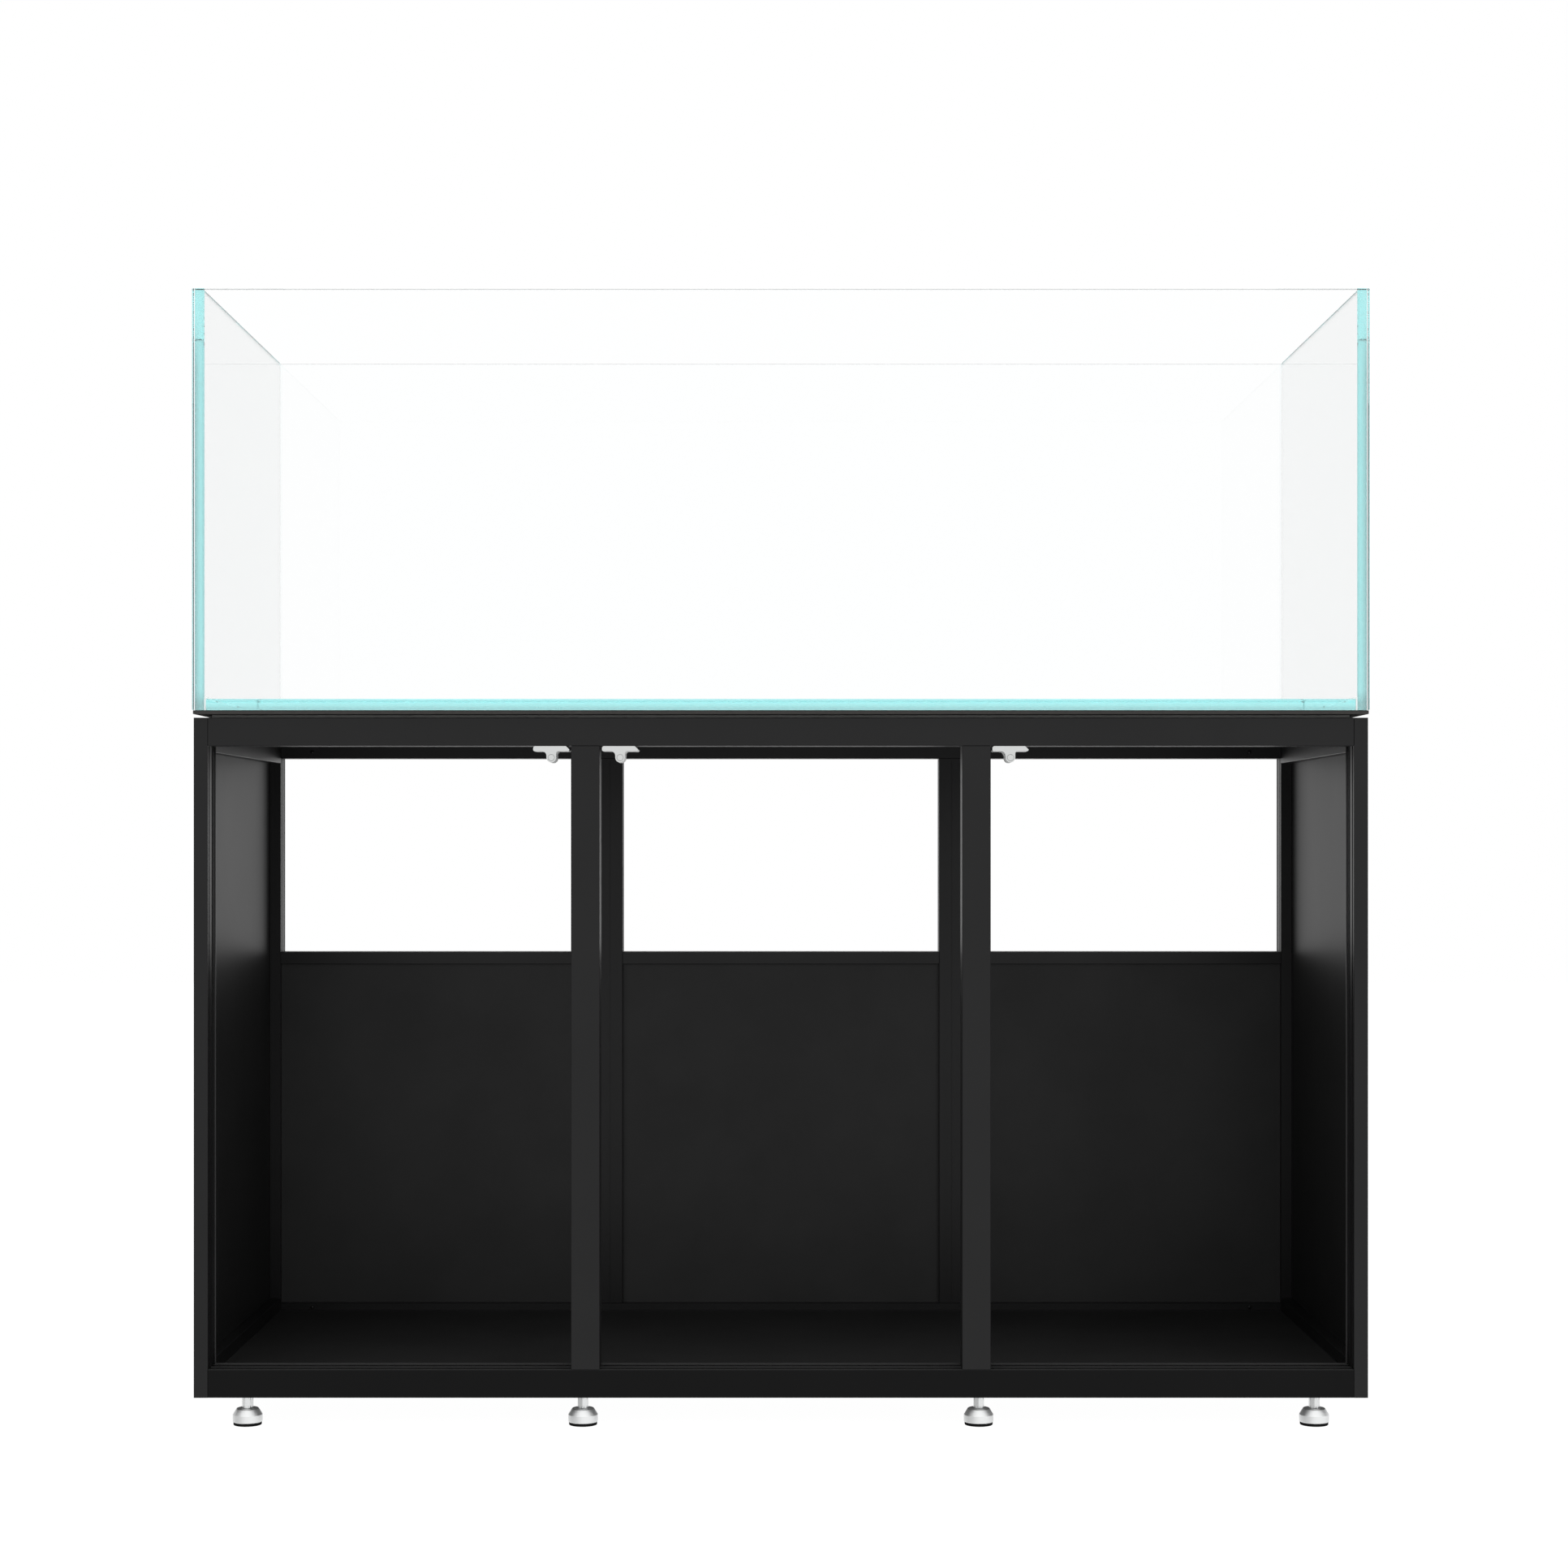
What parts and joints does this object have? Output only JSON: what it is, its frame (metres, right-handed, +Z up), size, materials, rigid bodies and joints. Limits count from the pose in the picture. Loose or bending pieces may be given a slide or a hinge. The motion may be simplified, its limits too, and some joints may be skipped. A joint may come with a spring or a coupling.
{
  "type": "aquarium on stand",
  "caption": "Rimless rectangular glass aquarium on an open-fronted black aluminium-profile stand with levelling feet, push latches and low back panels.",
  "frame": {"origin": "on the floor under the middle of the tank", "axes": "+X to the right along the tank, +Y from the open front to the back, +Z up"},
  "size_m": [1.524, 0.61, 1.475],
  "materials": {
    "glass": "polished",
    "silicone": "satin",
    "mat": "matte",
    "profile": "satin",
    "panel": "gloss",
    "latch": "satin",
    "foot": "polished"
  },
  "bodies": {
    "stand": {"pane_front": "glass", "pane_back": "glass", "pane_left": "glass", "pane_right": "glass", "pane_bottom": "glass", "silicone_seal": "silicone", "levelling_mat": "mat", "deck_panel": "panel", "post_front_left": "profile", "post_front_right": "profile", "post_back_left": "profile", "post_back_right": "profile", "mullion_front_left": "profile", "mullion_front_right": "profile", "mullion_back_left": "profile", "mullion_back_right": "profile", "rail_front_top": "profile", "rail_front_bottom": "profile", "rail_back_top": "profile", "rail_back_bottom": "profile", "side_rail_left_top": "profile", "side_rail_left_bottom": "profile", "side_rail_right_top": "profile", "side_rail_right_bottom": "profile", "cross_rail_left_top": "profile", "cross_rail_left_bottom": "profile", "cross_rail_right_top": "profile", "cross_rail_right_bottom": "profile", "mid_rail_left": "profile", "mid_rail_centre": "profile", "mid_rail_right": "profile", "back_panel_left": "panel", "back_panel_centre": "panel", "back_panel_right": "panel", "side_panel_left": "panel", "side_panel_right": "panel", "floor_panel": "panel", "latch_housing_left": "latch", "latch_housing_centre": "latch", "latch_housing_right": "latch"},
    "plunger_left": {"latch_plunger_left": "latch"},
    "plunger_centre": {"latch_plunger_centre": "latch"},
    "plunger_right": {"latch_plunger_right": "latch"},
    "foot_front_left": {"foot_base_front_left": "foot"},
    "stem_front_left": {"foot_stem_front_left": "foot"},
    "foot_front_centre_left": {"foot_base_front_centre_left": "foot"},
    "stem_front_centre_left": {"foot_stem_front_centre_left": "foot"},
    "foot_front_centre_right": {"foot_base_front_centre_right": "foot"},
    "stem_front_centre_right": {"foot_stem_front_centre_right": "foot"},
    "foot_front_right": {"foot_base_front_right": "foot"},
    "stem_front_right": {"foot_stem_front_right": "foot"},
    "foot_back_left": {"foot_base_back_left": "foot"},
    "stem_back_left": {"foot_stem_back_left": "foot"},
    "foot_back_centre_left": {"foot_base_back_centre_left": "foot"},
    "stem_back_centre_left": {"foot_stem_back_centre_left": "foot"},
    "foot_back_centre_right": {"foot_base_back_centre_right": "foot"},
    "stem_back_centre_right": {"foot_stem_back_centre_right": "foot"},
    "foot_back_right": {"foot_base_back_right": "foot"},
    "stem_back_right": {"foot_stem_back_right": "foot"}
  },
  "joints": [
    {"name": "latch_push_left", "type": "slide", "parent": "stand", "child": "plunger_left", "axis": [0, -1, 0], "range_m": [-0.002, 0.018]},
    {"name": "latch_push_centre", "type": "slide", "parent": "stand", "child": "plunger_centre", "axis": [0, -1, 0], "range_m": [-0.002, 0.018]},
    {"name": "latch_push_right", "type": "slide", "parent": "stand", "child": "plunger_right", "axis": [0, -1, 0], "range_m": [-0.002, 0.018]},
    {"name": "foot_height_front_left", "type": "slide", "parent": "stand", "child": "foot_front_left", "axis": [0, 0, -1], "range_m": [0, 0.02]},
    {"name": "stem_turn_front_left", "type": "hinge", "parent": "foot_front_left", "child": "stem_front_left", "pos_m": [-0.6945, -0.279, 0.03], "axis": [0, 0, 1], "range_deg": [0, 4801]},
    {"name": "foot_height_front_centre_left", "type": "slide", "parent": "stand", "child": "foot_front_centre_left", "axis": [0, 0, -1], "range_m": [0, 0.02]},
    {"name": "stem_turn_front_centre_left", "type": "hinge", "parent": "foot_front_centre_left", "child": "stem_front_centre_left", "pos_m": [-0.2576, -0.279, 0.03], "axis": [0, 0, 1], "range_deg": [0, 4801]},
    {"name": "foot_height_front_centre_right", "type": "slide", "parent": "stand", "child": "foot_front_centre_right", "axis": [0, 0, -1], "range_m": [0, 0.02]},
    {"name": "stem_turn_front_centre_right", "type": "hinge", "parent": "foot_front_centre_right", "child": "stem_front_centre_right", "pos_m": [0.2576, -0.279, 0.03], "axis": [0, 0, 1], "range_deg": [0, 4801]},
    {"name": "foot_height_front_right", "type": "slide", "parent": "stand", "child": "foot_front_right", "axis": [0, 0, -1], "range_m": [0, 0.02]},
    {"name": "stem_turn_front_right", "type": "hinge", "parent": "foot_front_right", "child": "stem_front_right", "pos_m": [0.6945, -0.279, 0.03], "axis": [0, 0, 1], "range_deg": [0, 4801]},
    {"name": "foot_height_back_left", "type": "slide", "parent": "stand", "child": "foot_back_left", "axis": [0, 0, -1], "range_m": [0, 0.02]},
    {"name": "stem_turn_back_left", "type": "hinge", "parent": "foot_back_left", "child": "stem_back_left", "pos_m": [-0.6945, 0.279, 0.03], "axis": [0, 0, 1], "range_deg": [0, 4801]},
    {"name": "foot_height_back_centre_left", "type": "slide", "parent": "stand", "child": "foot_back_centre_left", "axis": [0, 0, -1], "range_m": [0, 0.02]},
    {"name": "stem_turn_back_centre_left", "type": "hinge", "parent": "foot_back_centre_left", "child": "stem_back_centre_left", "pos_m": [-0.2576, 0.279, 0.03], "axis": [0, 0, 1], "range_deg": [0, 4801]},
    {"name": "foot_height_back_centre_right", "type": "slide", "parent": "stand", "child": "foot_back_centre_right", "axis": [0, 0, -1], "range_m": [0, 0.02]},
    {"name": "stem_turn_back_centre_right", "type": "hinge", "parent": "foot_back_centre_right", "child": "stem_back_centre_right", "pos_m": [0.2576, 0.279, 0.03], "axis": [0, 0, 1], "range_deg": [0, 4801]},
    {"name": "foot_height_back_right", "type": "slide", "parent": "stand", "child": "foot_back_right", "axis": [0, 0, -1], "range_m": [0, 0.02]},
    {"name": "stem_turn_back_right", "type": "hinge", "parent": "foot_back_right", "child": "stem_back_right", "pos_m": [0.6945, 0.279, 0.03], "axis": [0, 0, 1], "range_deg": [0, 4801]}
  ],
  "couplings": [
    {"joint": "stem_turn_front_left", "follows": "foot_height_front_left", "rad_per_m": 4188.8},
    {"joint": "stem_turn_front_centre_left", "follows": "foot_height_front_centre_left", "rad_per_m": 4188.8},
    {"joint": "stem_turn_front_centre_right", "follows": "foot_height_front_centre_right", "rad_per_m": 4188.8},
    {"joint": "stem_turn_front_right", "follows": "foot_height_front_right", "rad_per_m": 4188.8},
    {"joint": "stem_turn_back_left", "follows": "foot_height_back_left", "rad_per_m": 4188.8},
    {"joint": "stem_turn_back_centre_left", "follows": "foot_height_back_centre_left", "rad_per_m": 4188.8},
    {"joint": "stem_turn_back_centre_right", "follows": "foot_height_back_centre_right", "rad_per_m": 4188.8},
    {"joint": "stem_turn_back_right", "follows": "foot_height_back_right", "rad_per_m": 4188.8}
  ]
}
